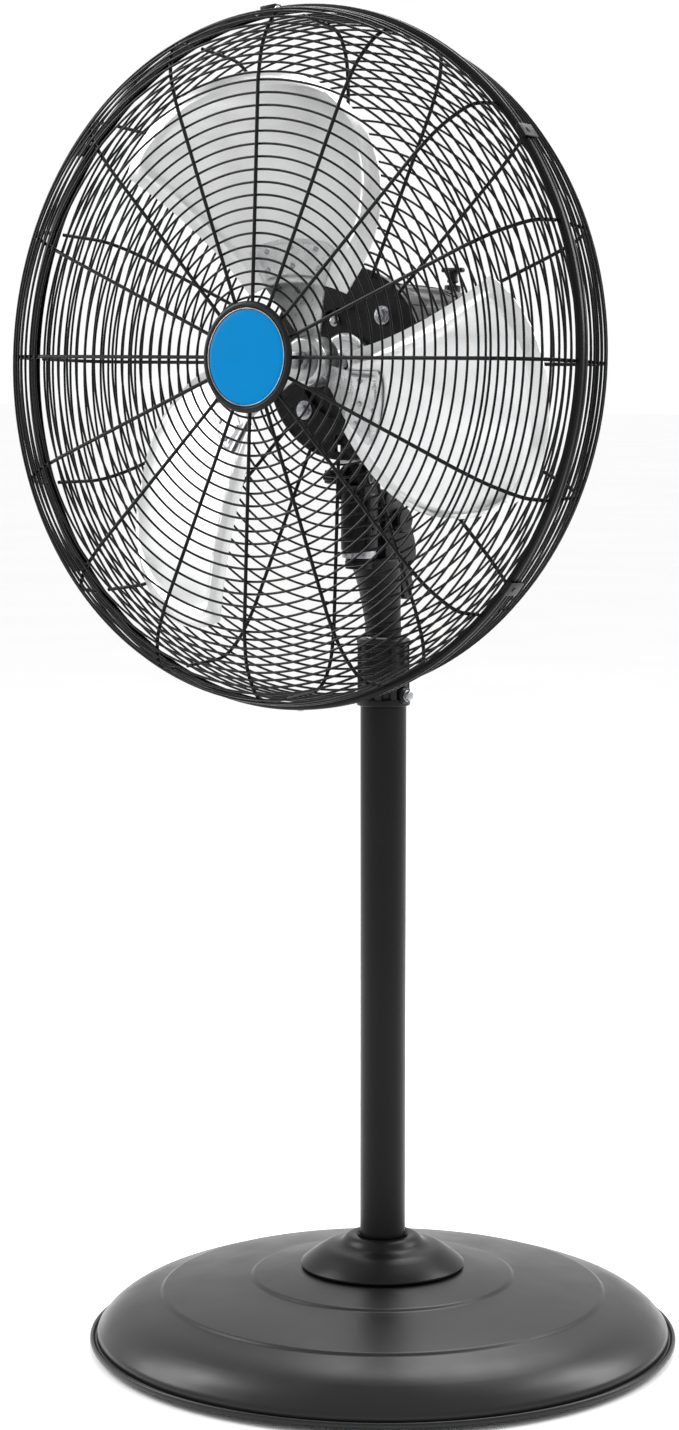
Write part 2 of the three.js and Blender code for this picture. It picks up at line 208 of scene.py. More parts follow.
def sheetPart(points, count):
    # two grids of points, count squares each way, joined round the rim
    row = count + 1
    layer = row * row
    faces = []
    for a in range(count):
        for b in range(count):
            corner = a * row + b
            face = [corner, corner + 1, corner + row + 1, corner + row]
            faces.append(face)
            faces.append([layer + n for n in face[::-1]])
    rim = list(range(count)) + [a * row + count for a in range(count)]
    rim += [count * row + b for b in range(count, 0, -1)] + [a * row for a in range(count, 0, -1)]
    for k, n in enumerate(rim):
        m = rim[(k + 1) % len(rim)]
        faces.append([n, m, m + layer, n + layer])
    return points, faces


def rawMesh(name, part):
    mesh = bpy.data.meshes.new(name)
    mesh.from_pydata([tuple(point) for point in part[0]], [], part[1])
    return mesh


def partOf(mesh):
    return [vertex.co.copy() for vertex in mesh.vertices], [list(face.vertices) for face in mesh.polygons]


def softened(part, width, steps=3, minAngle=28):
    # rounds every hard edge of a part
    mesh = rawMesh("soft", part)
    shape = bmesh.new()
    shape.from_mesh(mesh)
    bmesh.ops.recalc_face_normals(shape, faces=shape.faces)
    edges = [e for e in shape.edges if e.is_manifold and e.calc_face_angle(0) > math.radians(minAngle)]
    bmesh.ops.bevel(shape, geom=edges, offset=width, segments=steps, profile=0.5, affect="EDGES",
                    clamp_overlap=True)
    shape.to_mesh(mesh)
    shape.free()
    result = partOf(mesh)
    bpy.data.meshes.remove(mesh)
    return result


def carved(part, tools):
    # cuts the tools out of the part
    mesh, toolMesh = rawMesh("carved", part), rawMesh("tools", tools)
    for some in (mesh, toolMesh):
        shape = bmesh.new()
        shape.from_mesh(some)
        bmesh.ops.recalc_face_normals(shape, faces=shape.faces)
        shape.to_mesh(some)
        shape.free()
    piece, tool = bpy.data.objects.new("carved", mesh), bpy.data.objects.new("tools", toolMesh)
    for some in (piece, tool):
        bpy.context.scene.collection.objects.link(some)
    cut = piece.modifiers.new("cut", "BOOLEAN")
    cut.object = tool
    cut.solver = "EXACT"
    cut.use_self = True
    bpy.context.view_layer.update()
    result = partOf(piece.evaluated_get(bpy.context.evaluated_depsgraph_get()).to_mesh())
    for some in (piece, tool):
        bpy.data.objects.remove(some)
    return result


def makePiece(name, part, place, material, body, replaced=(), sharpAngle=32):
    points, faces = moved(part, place)
    mesh = rawMesh(name, (points, faces))
    shape = bmesh.new()
    shape.from_mesh(mesh)
    bmesh.ops.recalc_face_normals(shape, faces=shape.faces)
    shape.to_mesh(mesh)
    shape.free()
    mesh.polygons.foreach_set("use_smooth", [True] * len(mesh.polygons))
    mesh.set_sharp_from_angle(angle=math.radians(sharpAngle))
    mesh.materials.append(material)
    piece = bpy.data.objects.new(name, mesh)
    bpy.context.scene.collection.objects.link(piece)
    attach(piece, body)
    if replaced:
        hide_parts(*replaced)
    return piece


grainedFinishes = {
    "powderBlack": dict(dark=(0.0032, 0.0032, 0.0035), light=(0.0054, 0.0054, 0.0058), metal=0.0,
                        shine=0.15, rough=(0.29, 0.36), grain=900, bump=0.08, patch=6),
    "domeBlack": dict(dark=(0.0034, 0.0034, 0.0037), light=(0.0052, 0.0052, 0.0056), metal=0.0, shine=0.30,
                      rough=(0.30, 0.37), grain=900, bump=0.08, patch=6),
    "wireBlack": dict(dark=(0.003, 0.003, 0.0033), light=(0.0055, 0.0055, 0.006), metal=0.0, shine=0.13,
                      rough=(0.30, 0.42), grain=1200, bump=0.06, patch=9),
    "castingBlack": dict(dark=(0.003, 0.003, 0.0033), light=(0.0060, 0.0060, 0.0065), metal=0.0, shine=0.15,
                         rough=(0.34, 0.48), grain=520, bump=0.2, patch=14),
    "plasticBlack": dict(dark=(0.0035, 0.0035, 0.0038), light=(0.006, 0.006, 0.0065), metal=0.0, shine=0.18,
                         rough=(0.34, 0.46), grain=1500, bump=0.12, patch=20),
    "rubberBlack": dict(dark=(0.008, 0.008, 0.008), light=(0.016, 0.016, 0.016), metal=0.0, shine=0.3,
                        rough=(0.75, 0.9), grain=700, bump=0.3, patch=30),
    "ballast": dict(dark=(0.16, 0.155, 0.15), light=(0.30, 0.29, 0.28), metal=0.0, shine=0.4,
                    rough=(0.8, 0.95), grain=300, bump=0.5, patch=25),
    "zincSteel": dict(dark=(0.24, 0.245, 0.26), light=(0.42, 0.425, 0.44), metal=1.0, shine=0.5,
                      rough=(0.22, 0.36), grain=800, bump=0.06, patch=60),
    "tubeSteel": dict(dark=(0.40, 0.41, 0.43), light=(0.56, 0.57, 0.59), metal=1.0, shine=0.5,
                      rough=(0.2, 0.32), grain=600, bump=0.05, patch=30),
    "badgeBlue": dict(dark=(0.0, 0.168, 0.415), light=(0.0, 0.182, 0.445), metal=0.0, shine=0.05,
                      rough=(0.30, 0.36), grain=400, bump=0.02, patch=12),
}


def newMaterial(name):
    material = bpy.data.materials.new(name)
    material.use_nodes = True
    return material, material.node_tree.nodes, material.node_tree.links


noiseSpan = (0.32, 0.68)   # where most of a noise lies


def mottled(nodes, links, scale, detail, low, high, stretch=None):
    # a noise whose output runs from low to high
    spot = nodes.new("ShaderNodeTexCoord")
    noise = nodes.new("ShaderNodeTexNoise")
    noise.inputs["Scale"].default_value = scale
    noise.inputs["Detail"].default_value = detail
    if stretch:
        mapping = nodes.new("ShaderNodeMapping")
        mapping.inputs["Scale"].default_value = stretch
        links.new(spot.outputs["Object"], mapping.inputs["Vector"])
        links.new(mapping.outputs["Vector"], noise.inputs["Vector"])
    else:
        links.new(spot.outputs["Object"], noise.inputs["Vector"])
    reach = nodes.new("ShaderNodeMapRange")
    reach.inputs["From Min"].default_value = noiseSpan[0]
    reach.inputs["From Max"].default_value = noiseSpan[1]
    reach.inputs["To Min"].default_value = low
    reach.inputs["To Max"].default_value = high
    links.new(noise.outputs["Fac"], reach.inputs["Value"])
    return reach.outputs["Result"]


def twoColours(nodes, links, factor, dark, light):
    ramp = nodes.new("ShaderNodeValToRGB")
    ramp.color_ramp.elements[0].color = (*dark, 1)
    ramp.color_ramp.elements[1].color = (*light, 1)
    links.new(factor, ramp.inputs["Fac"])
    return ramp.outputs["Color"]


def addBump(nodes, links, shader, height, strength, distance):
    bump = nodes.new("ShaderNodeBump")
    bump.inputs["Strength"].default_value = strength
    bump.inputs["Distance"].default_value = distance
    links.new(height, bump.inputs["Height"])
    links.new(bump.outputs["Normal"], shader.inputs["Normal"])


def newFinish(name, look):
    material, nodes, links = newMaterial(name)
    shader = nodes["Principled BSDF"]
    shader.inputs["Metallic"].default_value = look["metal"]
    shade = mottled(nodes, links, look["patch"], 4, 0, 1)
    links.new(twoColours(nodes, links, shade, look["dark"], look["light"]), shader.inputs["Base Color"])
    return material, nodes, links, shader


def grainedFinish(name, look):
    material, nodes, links, shader = newFinish(name, look)
    shader.inputs["Specular IOR Level"].default_value = look["shine"]
    links.new(mottled(nodes, links, look["patch"] * 3, 5, *look["rough"]), shader.inputs["Roughness"])
    grain = mottled(nodes, links, look["grain"], 3, 0, 1)
    addBump(nodes, links, shader, grain, look["bump"], 0.0004)
    return material


streakedFinishes = {
    # rolled sheet: soft streaks one way, a little haze
    "bladeAluminium": dict(dark=(0.71, 0.713, 0.717), light=(0.79, 0.793, 0.797), metal=1.0, patch=5,
                           oneWay=0.35, streaks=60, rough=(0.30, 0.44), streakStretch=(0.12, 1, 1),
                           grain=140, grainStretch=(0.1, 1, 1), bump=0.05, depth=0.0004),
    # lathe-cut faces: fine rings about the fan's axis
    "machinedAluminium": dict(dark=(0.44, 0.445, 0.45), light=(0.64, 0.645, 0.65), metal=1.0, patch=40,
                              oneWay=0.0, streaks=90, rough=(0.24, 0.42), streakStretch=None,
                              grain=700, grainStretch=(1, 0.2, 1), bump=0.1, depth=0.0003),
}


def streakedFinish(name, look):
    material, nodes, links, shader = newFinish(name, look)
    shader.inputs["Anisotropic"].default_value = look["oneWay"]
    streaks = mottled(nodes, links, look["streaks"], 4, *look["rough"], stretch=look["streakStretch"])
    links.new(streaks, shader.inputs["Roughness"])
    grain = mottled(nodes, links, look["grain"], 3, 0, 1, stretch=look["grainStretch"])
    addBump(nodes, links, shader, grain, look["bump"], look["depth"])
    return material


finish = {name: grainedFinish(name, look) for name, look in grainedFinishes.items()}
finish.update({name: streakedFinish(name, look) for name, look in streakedFinishes.items()})
print("finishes ready:", len(finish))

cameraView = {
    "turn": 37.34,       # degrees round from the front
    "distance": 3.603,   # metres, level, from the pole
    "aside": 0.0485,     # metres that the aim passes the pole by
    "height": 1.1218,
    "lookDown": 6.51,    # degrees
    "lens": 82.57,       # millimetres, as the sensor
    "sensor": 36,
}


def addCamera():
    turn = math.radians(cameraView["turn"])
    spot = Vector((cameraView["distance"] * math.sin(turn) - cameraView["aside"] * math.cos(turn),
                   -cameraView["distance"] * math.cos(turn) - cameraView["aside"] * math.sin(turn),
                   cameraView["height"]))
    camera = bpy.data.objects.new("camera", bpy.data.cameras.new("camera"))
    camera.data.lens = cameraView["lens"]
    camera.data.sensor_width = cameraView["sensor"]
    camera.location = spot
    camera.rotation_euler = (math.radians(90 - cameraView["lookDown"]), 0, turn)
    bpy.context.scene.collection.objects.link(camera)
    bpy.context.scene.camera = camera


addCamera()
print("camera placed")

baseLook = {
    "sheet": 2.6,           # thickness of the pressed cover
    # outlines here and below are (radius, height, rounding)
    "dome": [(319, 6, 0), (327, 5.6, 3), (330, 9, 2.6), (329, 13.4, 2), (325.6, 13.4, 1.6),
             (323.8, 10.2, 1.4), (321.6, 10.6, 1), (321.4, 19, 4), (308, 35.5, 16), (284, 50, 18),
             (250.5, 59.3, 1.6), (246.5, 62.4, 1.6), (196, 70.6, 40), (148.5, 76.4, 1.6), (144.5, 79.4, 1.6),
             (92, 88.2, 30), (30, 91, 0)],
    "insideFoot": (319.4, 6.4),   # radius and height where the inside of the cover starts
    "insideFrom": (321.2, 12),    # outside of this there is only the rolled rim
    "ballast": [(36, 30, 3), (40, 9.8, 3), (300, 9.8, 6), (300, 30, 10), (282, 41, 10), (240, 51, 20),
                (60, 64, 10), (36, 64, 4)],
    "flange": [(26.2, 93.5, 0), (91.4, 89.2, 0.6), (92, 91.6, 0.8), (84, 98.6, 8), (70.5, 107.8, 4),
               (64, 111, 4), (48, 114, 8), (41, 122, 4), (36, 124, 3), (29.5, 123.2, 2), (26.2, 119, 1)],
    "padCircle": 290,
    "pad": [(0, 0, 0), (16.2, 0, 1.5), (18, 2.2, 1.5), (16.6, 9, 1), (0, 9, 0)],
}


def makeBase():
    outside = rounded(baseLook["dome"], closed=False)
    wall, rim = baseLook["insideFrom"]
    inside = [baseLook["insideFoot"]]
    inside += [(radius - 0.6, height - baseLook["sheet"]) for radius, height in outside
               if radius < wall and height > rim]
    cover = lathe(outside + inside[::-1], 160)
    makePiece("baseCover", cover, standPlace, finish["domeBlack"], "base", ["base_cover"])
    makePiece("baseWeight", ringPart(baseLook["ballast"]), standPlace, finish["ballast"], "base",
              ["base_weight"])
    makePiece("poleFlange", ringPart(baseLook["flange"], 128), standPlace, finish["powderBlack"], "base",
              ["pole_flange"])
    for i in range(4):
        angle = math.pi / 4 + math.pi / 2 * i
        pad = shifted(turnedPart(baseLook["pad"], 48), baseLook["padCircle"] * math.cos(angle),
                      baseLook["padCircle"] * math.sin(angle))
        makePiece(f"footPad{i + 1}", pad, standPlace, finish["rubberBlack"], "base",
                  [f"foot_pad_{i + 1}"])


makeBase()
print("base made")

poleLook = {"radius": 25.4, "wall": 2, "edge": 0.8}


def makePole():
    outer, edge = poleLook["radius"], poleLook["edge"]
    tube = tubePart((outer - poleLook["wall"], outer), heights("outer_pole"), edge, edge, 128)
    makePiece("outerPole", tube, standPlace, finish["powderBlack"], "base", ["outer_pole"])


collarLook = {
    "ribs": 10, "rib": 28.8, "groove": 25.2, "bore": 19.6,
    "band": 29.5, "bandBore": 25.8, "bandHeight": 8,
    "boltOut": 25.2, "boltUp": 12,   # the bolt's boss, from the axis and from the collar's foot
}


def makeCollar():
    low, high = heights("clamp_collar")
    outline = []
    for i in range(collarLook["ribs"]):
        for k in range(8):
            share = k / 8
            radius = collarLook["rib"] if share < 0.5 else collarLook["groove"]
            angle = fullTurn * (i + share) / collarLook["ribs"]
            outline.append((radius * math.cos(angle), radius * math.sin(angle)))
    bore = collarLook["bore"]
    sleeve = softened(slab(outline, low + 5, high - 5), 0.35, 2)
    band = collarLook["band"]
    lower = tubePart((collarLook["bandBore"], band), (low, low + collarLook["bandHeight"]), 0, 1.6)
    upper = ringPart([(bore, high - 7, 0), (band, high - 7, 1.5), (band, high - 1.5, 2.5),
                      (bore + 3, high, 1.5), (bore, high - 1, 0.6)])
    boltHeight = low + collarLook["boltUp"]
    boss = shifted(softened(block(13, 15, 17), 2), collarLook["boltOut"], 0, boltHeight)
    mouth = lathe([(0, low + 4), (bore, low + 4), (bore, high + 4), (0, high + 4)], 64, closed=False)
    body = merged(carved(sleeve, mouth), lower, upper, boss)
    makePiece("clampCollar", body, standPlace, finish["plasticBlack"], "base",
              ["clamp_collar"])
    head = merged(hexagon(5.6, 32, 37),
                  turnedPart([(0, 31.9), (6.4, 31.9, 0.5), (6.4, 33, 0.5), (0, 33)], 40),
                  turnedPart([(0, 26.4), (3, 26.4), (3, 32), (0, 32)], 24))
    bolt = shifted(spun(head, math.pi / 2, "Y"), 0, 0, boltHeight)
    makePiece("clampBolt", bolt, standPlace, finish["zincSteel"], "clamp_bolt_body",
              ["clamp_bolt"])


makePole()
makeCollar()
print("pole and collar made")

stemLook = {
    # height above the stem's foot, shift in Y, radius
    "sections": [(0, 0, 19.5), (12, -0.6, 19.7), (30, -3.4, 21), (50, -6.6, 23), (68, -10.6, 25.2),
                 (80, -15.5, 27), (84.6, -17.8, 27.4), (86, -18, 26.2), (86.4, -18, 24)],
    "nose": 15.5, "noseHeight": 9, "postRadius": 9, "postTop": 949,
    "seam": (19.4, 20.4), "seamHeights": (803, 806),
    "tube": (17, 19), "washer": (9.4, 18.6), "thrust": (9.4, 15),   # inner and outer radius
}
switchLook = {
    "outline": [(16.5, 854, 2), (22, 838, 3), (30, 838, 6), (36, 846, 4), (36, 861, 3), (31, 868, 3),
                (31, 874, 3), (42, 880, 4), (43, 892, 6), (40, 905, 8), (34, 918, 10), (24, 936, 12),
                (14, 950, 10), (2, 960, 7), (-8, 960, 6), (-14, 952, 5), (-14, 884.6, 1), (12.9, 884.6, 1),
                (13.6, 876, 4)],
    "width": 26, "seamProud": 0.9,
    "knob": 14, "knobSpan": (13.8, 22), "knobTeeth": 28,
}


def makeStem():
    bottom = heights("stem")[0]
    sides = 64
    points, faces = [], []
    for height, shift, radius in stemLook["sections"]:
        for i in range(sides):
            angle = fullTurn * i / sides
            points.append(Vector((radius * math.cos(angle), shift + radius * math.sin(angle),
                                  bottom + height)))
    rows = len(stemLook["sections"])
    for k in range(rows - 1):
        for i in range(sides):
            j = (i + 1) % sides
            faces.append([k * sides + i, k * sides + j, (k + 1) * sides + j, (k + 1) * sides + i])
    faces.append(list(range(sides))[::-1])
    faces.append([(rows - 1) * sides + i for i in range(sides)])
    top = bottom + stemLook["sections"][-1][0] - 0.8
    forward = pivotSpot.y / mm
    edge = stemLook["nose"]
    nose = turnedPart([(0, top - stemLook["noseHeight"]), (edge, top - stemLook["noseHeight"], 2),
                       (edge, top, 1), (0, top)], 64)
    radius = stemLook["postRadius"]
    postTop = stemLook["postTop"]
    post = turnedPart([(0, top - 2), (radius, top - 2), (radius, postTop, 1), (0, postTop)], 40)
    bridge = shifted(softened(block(27, 22, 9), 2.5), 0, -34, top - 4.6)
    seam = shifted(tubePart(stemLook["seam"], stemLook["seamHeights"], 0, 0.4, 64), 0, -0.2)
    body = merged((points, faces), shifted(merged(nose, post), 0, forward), bridge, seam)
    makePiece("stem", body, standPlace, finish["castingBlack"], "mast", ["stem"])
    tube = tubePart(stemLook["tube"], heights("inner_tube"), 0.5, 0.5)
    makePiece("innerTube", tube, standPlace, finish["tubeSteel"], "mast", ["inner_tube"])
    washer = tubePart(stemLook["washer"], heights("pivot_washer"), 0.3, 0.6, 64)
    makePiece("pivotWasher", washer, swivelPlace, finish["zincSteel"], "mast",
              ["pivot_washer"])
    thrust = tubePart(stemLook["thrust"], heights("thrust_ring"), 0.3, 0.6, 64)
    makePiece("thrustRing", thrust, swivelPlace, finish["castingBlack"], "mast",
              ["thrust_ring"])


def sidePlate(outline, width):
    # an outline in Y and Z made into a plate across X
    flat = slab(outline, -width / 2, width / 2)
    return [Vector((point.z, point.x, point.y)) for point in flat[0]], [face[::-1] for face in flat[1]]


def toothedDrum(radius, low, high, teeth, depth=0.12):
    outline = []
    for i in range(teeth):
        for share, reach in ((0.1, 1), (0.4, 1), (0.6, 1 - depth), (0.9, 1 - depth)):
            angle = fullTurn * (i + share) / teeth
            outline.append((radius * reach * math.cos(angle), radius * reach * math.sin(angle)))
    return softened(slab(outline, low, high), min(0.5, radius * 0.03), 2, 50)


def makeSwitchBox():
    width = switchLook["width"]
    shell = softened(sidePlate(rounded(switchLook["outline"], steps=4), width), 2.6, 4, 40)
    smaller = [(y * 0.985 + 0.2, (z - 900) * 0.99 + 900, 4) for y, z, cut in switchLook["outline"]]
    seam = sidePlate(rounded(smaller, steps=3), width + switchLook["seamProud"])
    makePiece("switchBox", merged(shell, softened(seam, 0.4, 2, 40)), standPlace, finish["plasticBlack"],
              "mast", ["switch_box"])
    lowCorner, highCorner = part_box("cable_gland")
    centre = (lowCorner + highCorner) / 2 / mm
    nut = [(4.5, 0, 0), (8.5, 0, 0.6), (8.5, 9.3, 1.2), (6, 10, 0.5), (4.5, 10, 0.4)]
    gland = merged(ringPart(nut, 48),
                   spun(hexagon(7.9, -2.5, 1), 0.3),
                   turnedPart([(0, -7.6), (6.9, -7.6), (6.9, 0), (0, 0)], 40))
    gland = moved(gland, Matrix.Translation((0, highCorner.y / mm - 9.9, centre.z)) @
                  Matrix.Rotation(-math.pi / 2, 4, "X"))
    makePiece("cableGland", gland, standPlace, finish["plasticBlack"], "mast",
              ["cable_gland"])


def makeSpeedKnob():
    spot = Vector(jointNamed("speed_select")["pos_m"]) / mm
    drum = toothedDrum(switchLook["knob"], *switchLook["knobSpan"], switchLook["knobTeeth"], 0.08)
    cap = turnedPart([(0, 21.5), (12.2, 21.5, 0.3), (12.2, 23.4, 1.4), (0, 23.9)], 64)
    pointer = shifted(softened(block(1.8, 9, 1.4), 0.4), 0, 7, 23.6)
    stalk = turnedPart([(0, 9.4), (3.3, 9.4), (3.3, 14), (0, 14)], 24)
    knob = spun(merged(drum, cap, pointer, stalk), math.pi / 2, "Y")
    makePiece("speedKnob", shifted(knob, 0, spot.y, spot.z), standPlace, finish["plasticBlack"],
              "speed_knob_body", ["speed_knob"])


makeStem()
makeSwitchBox()
makeSpeedKnob()
print("stem and switch made")

neckLook = {
    "housing": 20, "bore": 9.6, "forkInner": 9, "forkOuter": 18.2, "cheek": 15, "cheekDrop": 24,
    "block": (34, 30), "blockBottom": 14.5, "blockTop": 36, "boltHead": 7.2,
    "rib": (6, 5, 56), "ribTurn": 67,
    "knob": 8, "knobSpan": (-44, -31.4), "knobTeeth": 9,
}


def makeHousing():
    low = heights("swivel_housing")[0]
    tilt = headPlace.translation.z / mm
    outer = neckLook["housing"]
    body = turnedPart([(0, low), (outer - 0.5, low, 1), (outer, low + 3, 1), (outer, tilt - 17, 4),
                       (outer - 5, tilt - 13, 2), (0, tilt - 13)], 96)
    cheeks = []
    reach = neckLook["cheek"]
    for side in (-1, 1):
        outline = [(-reach, tilt - neckLook["cheekDrop"]), (reach, tilt - neckLook["cheekDrop"])]
        for k in range(17):
            angle = math.pi * k / 16
            outline.append((reach * math.cos(angle), tilt + reach * math.sin(angle) * 0.95))
        middle = side * (neckLook["forkInner"] + neckLook["forkOuter"]) / 2
        plate = softened(sidePlate(outline, neckLook["forkOuter"] - neckLook["forkInner"]), 1.6, 3, 40)
        cheeks.append(shifted(plate, middle))
    rib = shifted(softened(block(*neckLook["rib"]), 1.6, 4), 0, -outer - 0.4, low + 31)
    rib = spun(rib, math.radians(neckLook["ribTurn"]))
    boss = spun(turnedPart([(0, 12), (8, 12), (7, 23.4, 1), (0, 23.4)], 40), math.pi / 2, "Y")
    boss = shifted(boss, 0, 0, low + 30)
    bore = neckLook["bore"]
    hole = lathe([(0, low - 5), (bore, low - 5), (bore, tilt - 20), (0, tilt - 20)], 40, closed=False)
    housing = merged(carved(body, hole), *cheeks, rib, boss)
    makePiece("swivelHousing", housing, swivelPlace, finish["castingBlack"], "swivel",
              ["swivel_housing"])


def makeNeck():
    x, y = neckLook["block"]
    low, high = neckLook["blockBottom"], neckLook["blockTop"]
    eye = turnedPart([(0, -8.6), (9, -8.6, 1), (9, 8.6, 1), (0, 8.6)], 48)
    tongue = merged(shifted(softened(block(17.2, 17, 17), 1.2), 0, 0, 7.5), spun(eye, math.pi / 2, "Y"))
    makePiece("neckTongue", tongue, headPlace, finish["castingBlack"], "head")
    slabTop = shifted(softened(block(x, y, high - low), 2.2, 4), 0, 0, (low + high) / 2)
    rib = shifted(softened(block(x - 6, 3, 4), 0.8), 0, -y / 2 - 0.4, low + 4)
    makePiece("neckBlock", merged(slabTop, rib), headPlace, finish["machinedAluminium"], "head",
              ["neck_block"])
    head = neckLook["boltHead"]
    bolt = merged(turnedPart([(0, -26), (4, -26), (4, 22), (0, 22)], 32),
                  turnedPart([(0, 18.5), (8.6, 18.5, 0.4), (8.6, 20, 0.4), (0, 20)], 48),
                  hexagon(head, 20, 25.6))
    makePiece("tiltBolt", spun(bolt, math.pi / 2, "Y"), headPlace, finish["zincSteel"], "head",
              ["tilt_bolt"])
    knob = merged(toothedDrum(neckLook["knob"], *neckLook["knobSpan"], neckLook["knobTeeth"], 0.14),
                  turnedPart([(0, -46), (5, -46, 1.5), (5, -26.6), (0, -26.6)], 40))
    makePiece("tiltKnob", spun(knob, math.pi / 2, "Y"), headPlace, finish["plasticBlack"], "tilt_knob_body",
              ["tilt_knob"])


makeHousing()
makeNeck()
print("neck made")

motorLook = {
    "bell": [(0, -141, 0), (92, -141, 4), (97, -136, 4), (97, -108, 4), (93, -101.5, 5), (84, -98.8, 4),
             (0, -98.8, 0)],
    "vents": 20, "flatBottom": 87.5, "fins": 24, "finOuter": 91, "finRoot": 88, "casing": (-229.6, -141.4),
    "gearCase": [(0, -311.5, 0), (58, -309.5, 14), (79, -302, 12), (87, -288, 8), (89, -270, 4),
                 (89, -230, 2), (0, -230, 0)],
    "knobAt": -290,
    "plate": [(60, -98.1, 0.5), (104, -98.1, 0.6), (104, -92.2, 1.4), (60, -92.2, 1.2)],
    "windowAt": 86, "boltCircle": 72, "screwCircle": 49,
    "screwTurn": 0.42,   # how far each motor screw is behind its guard bolt, in radians
}


def makeMotor():
    slots = []
    for i in range(motorLook["vents"]):
        angle = fullTurn * (i + 0.5) / motorLook["vents"]
        slots.append(spun(shifted(block(14, 7, 22), 95, 0, -121), angle))
        slots.append(spun(shifted(block(14, 6, 10), 76, 0, -99), angle))
    slots.append(shifted(block(160, 40, 60), 0, -motorLook["flatBottom"] - 20, -121))
    bell = carved(turnedPart(motorLook["bell"], 120), merged(*slots))
    lugs = around(shifted(softened(block(12, 16, 40), 2.5), 92.5, 0, -121), 4, math.pi / 4)
    makePiece("motorBell", merged(bell, lugs), fanPlace, finish["castingBlack"], "head",
              ["motor_bell"])
    root, outer = motorLook["finRoot"], motorLook["finOuter"]
    outline = []
    for i in range(motorLook["fins"]):
        for share, radius in ((0.05, root), (0.42, root), (0.52, outer), (0.95, outer)):
            angle = fullTurn * (i + share) / motorLook["fins"]
            outline.append((radius * math.cos(angle), radius * math.sin(angle)))
    casing = softened(slab(outline, *motorLook["casing"]), 0.8, 2, 40)
    makePiece("motorCasing", casing, fanPlace, finish["castingBlack"], "head",
              ["motor_casing"])


def makeGearCase():
    at = motorLook["knobAt"]
    body = turnedPart(motorLook["gearCase"], 120, 8)
    joint = tubePart((86, 90.4), (-239, -235), 0, 1, 120)
    guide = turnedPart([(0, 66), (10.5, 66, 0), (9.2, 86, 2), (9, 94.6, 1), (0, 94.6)], 48)
    guide = shifted(spun(guide, -math.pi / 2, "X"), 0, 0, at)
    screws = around(shifted(hexagon(4, -232.6, -229.9), 76, 0, 0), 6, 0.2)
    cap = turnedPart([(0, -314.4), (17, -314.2, 2), (19, -310, 1), (0, -309)], 64)
    makePiece("gearCase", merged(body, joint, guide, screws, cap), fanPlace, finish["castingBlack"], "head",
              ["gear_case"])
    stalk = turnedPart([(0, 72), (4.2, 72), (4.2, 97), (6.6, 98, 1), (5.2, 104, 2), (6, 110.5, 1),
                        (0, 110.5)], 40)
    bar = shifted(softened(block(29, 8, 5.4), 2.2, 4), 0, 0, 111.6)
    knob = shifted(spun(merged(stalk, bar), -math.pi / 2, "X"), 0, 0, at)
    makePiece("oscillationKnob", knob, fanPlace, finish["plasticBlack"], "oscillation_knob_body",
              ["oscillation_knob"])


def makeFrontOfMotor():
    boss = ringPart([(8, -98.2, 0), (33, -98.2, 0.6), (33, -92.5, 1.2), (30, -90, 1), (25, -90, 1),
                     (23.4, -92.4, 1), (15, -92.4, 1), (13, -90, 0.8), (9, -90, 0.6), (8, -91.5, 0.5)], 96)
    makePiece("bearingBoss", boss, fanPlace, finish["machinedAluminium"], "head",
              ["bearing_boss"])
    plate = ringPart(motorLook["plate"], 120)
    window = slab(rounded([(-9, -9, 3), (9, -9, 3), (9, 9, 3), (-9, 9, 3)]), -105, -85)
    windows = around(shifted(window, motorLook["windowAt"]), 4)
    makePiece("guardPlate", carved(plate, windows), fanPlace, finish["castingBlack"], "head",
              ["guard_plate"])
    for i in range(4):
        angle = math.pi / 4 + math.pi / 2 * i
        bolt = merged(turnedPart([(0, -92.1), (10.4, -92.1, 0.4), (10.4, -90.3, 0.5), (0, -90.3)], 48),
                      turnedPart([(0, -90.4), (7, -90.4, 0.3), (6.6, -88.8, 0.5), (0, -88.8)], 40),
                      hexagon(6.3, -88.9, -84.4))
        circle = motorLook["boltCircle"]
        bolt = shifted(bolt, circle * math.cos(angle), circle * math.sin(angle))
        makePiece(f"guardBolt{i + 1}", bolt, fanPlace, finish["zincSteel"], "head",
                  [f"guard_bolt_{i + 1}"])
        turn = angle - motorLook["screwTurn"]
        screw = merged(turnedPart([(0, -98.2), (6.2, -98.2, 0.3), (6.2, -96.2, 0.8), (0, -95.9)], 32),
                       hexagon(4.2, -96, -92.8))
        circle = motorLook["screwCircle"]
        screw = shifted(screw, circle * math.cos(turn), circle * math.sin(turn))
        makePiece(f"motorScrew{i + 1}", screw, fanPlace, finish["zincSteel"], "head",
                  [f"motor_screw_{i + 1}"])


makeMotor()
makeGearCase()
makeFrontOfMotor()
print("motor made")

guardLook = {
    "ribs": 16, "rib": 2.0, "wire": 1.3,
    "frontFrom": 52, "rearFrom": 98,        # radius of the inner ends of the ribs
    "pitch": 13.3, "cornerPitch": 8.6,      # from ring to ring, on the flat and round the corner
    "front": [(285, 66), (319, 61), (343, 50), (355, 39), (359, 26), (361, 7.4)],
    "rear": [(285, -88), (318, -84), (339, -75), (348.5, -65.5), (352.5, -54), (355.5, -32), (358.5, -7.4)],
}


def curveThrough(spots, perSpan=8):
    # a smooth line through the spots
    padded = [spots[0]] + list(spots) + [spots[-1]]
    line = []
    for k in range(1, len(padded) - 2):
        a, b, c, d = (Vector(spot) for spot in padded[k - 1:k + 3])
        for i in range(perSpan):
            t = i / perSpan
            line.append(0.5 * (2 * b + (c - a) * t + (2 * a - 5 * b + 4 * c - d) * t ** 2
                               + (3 * b - a - 3 * c + d) * t ** 3))
    line.append(Vector(spots[-1]))
    return line


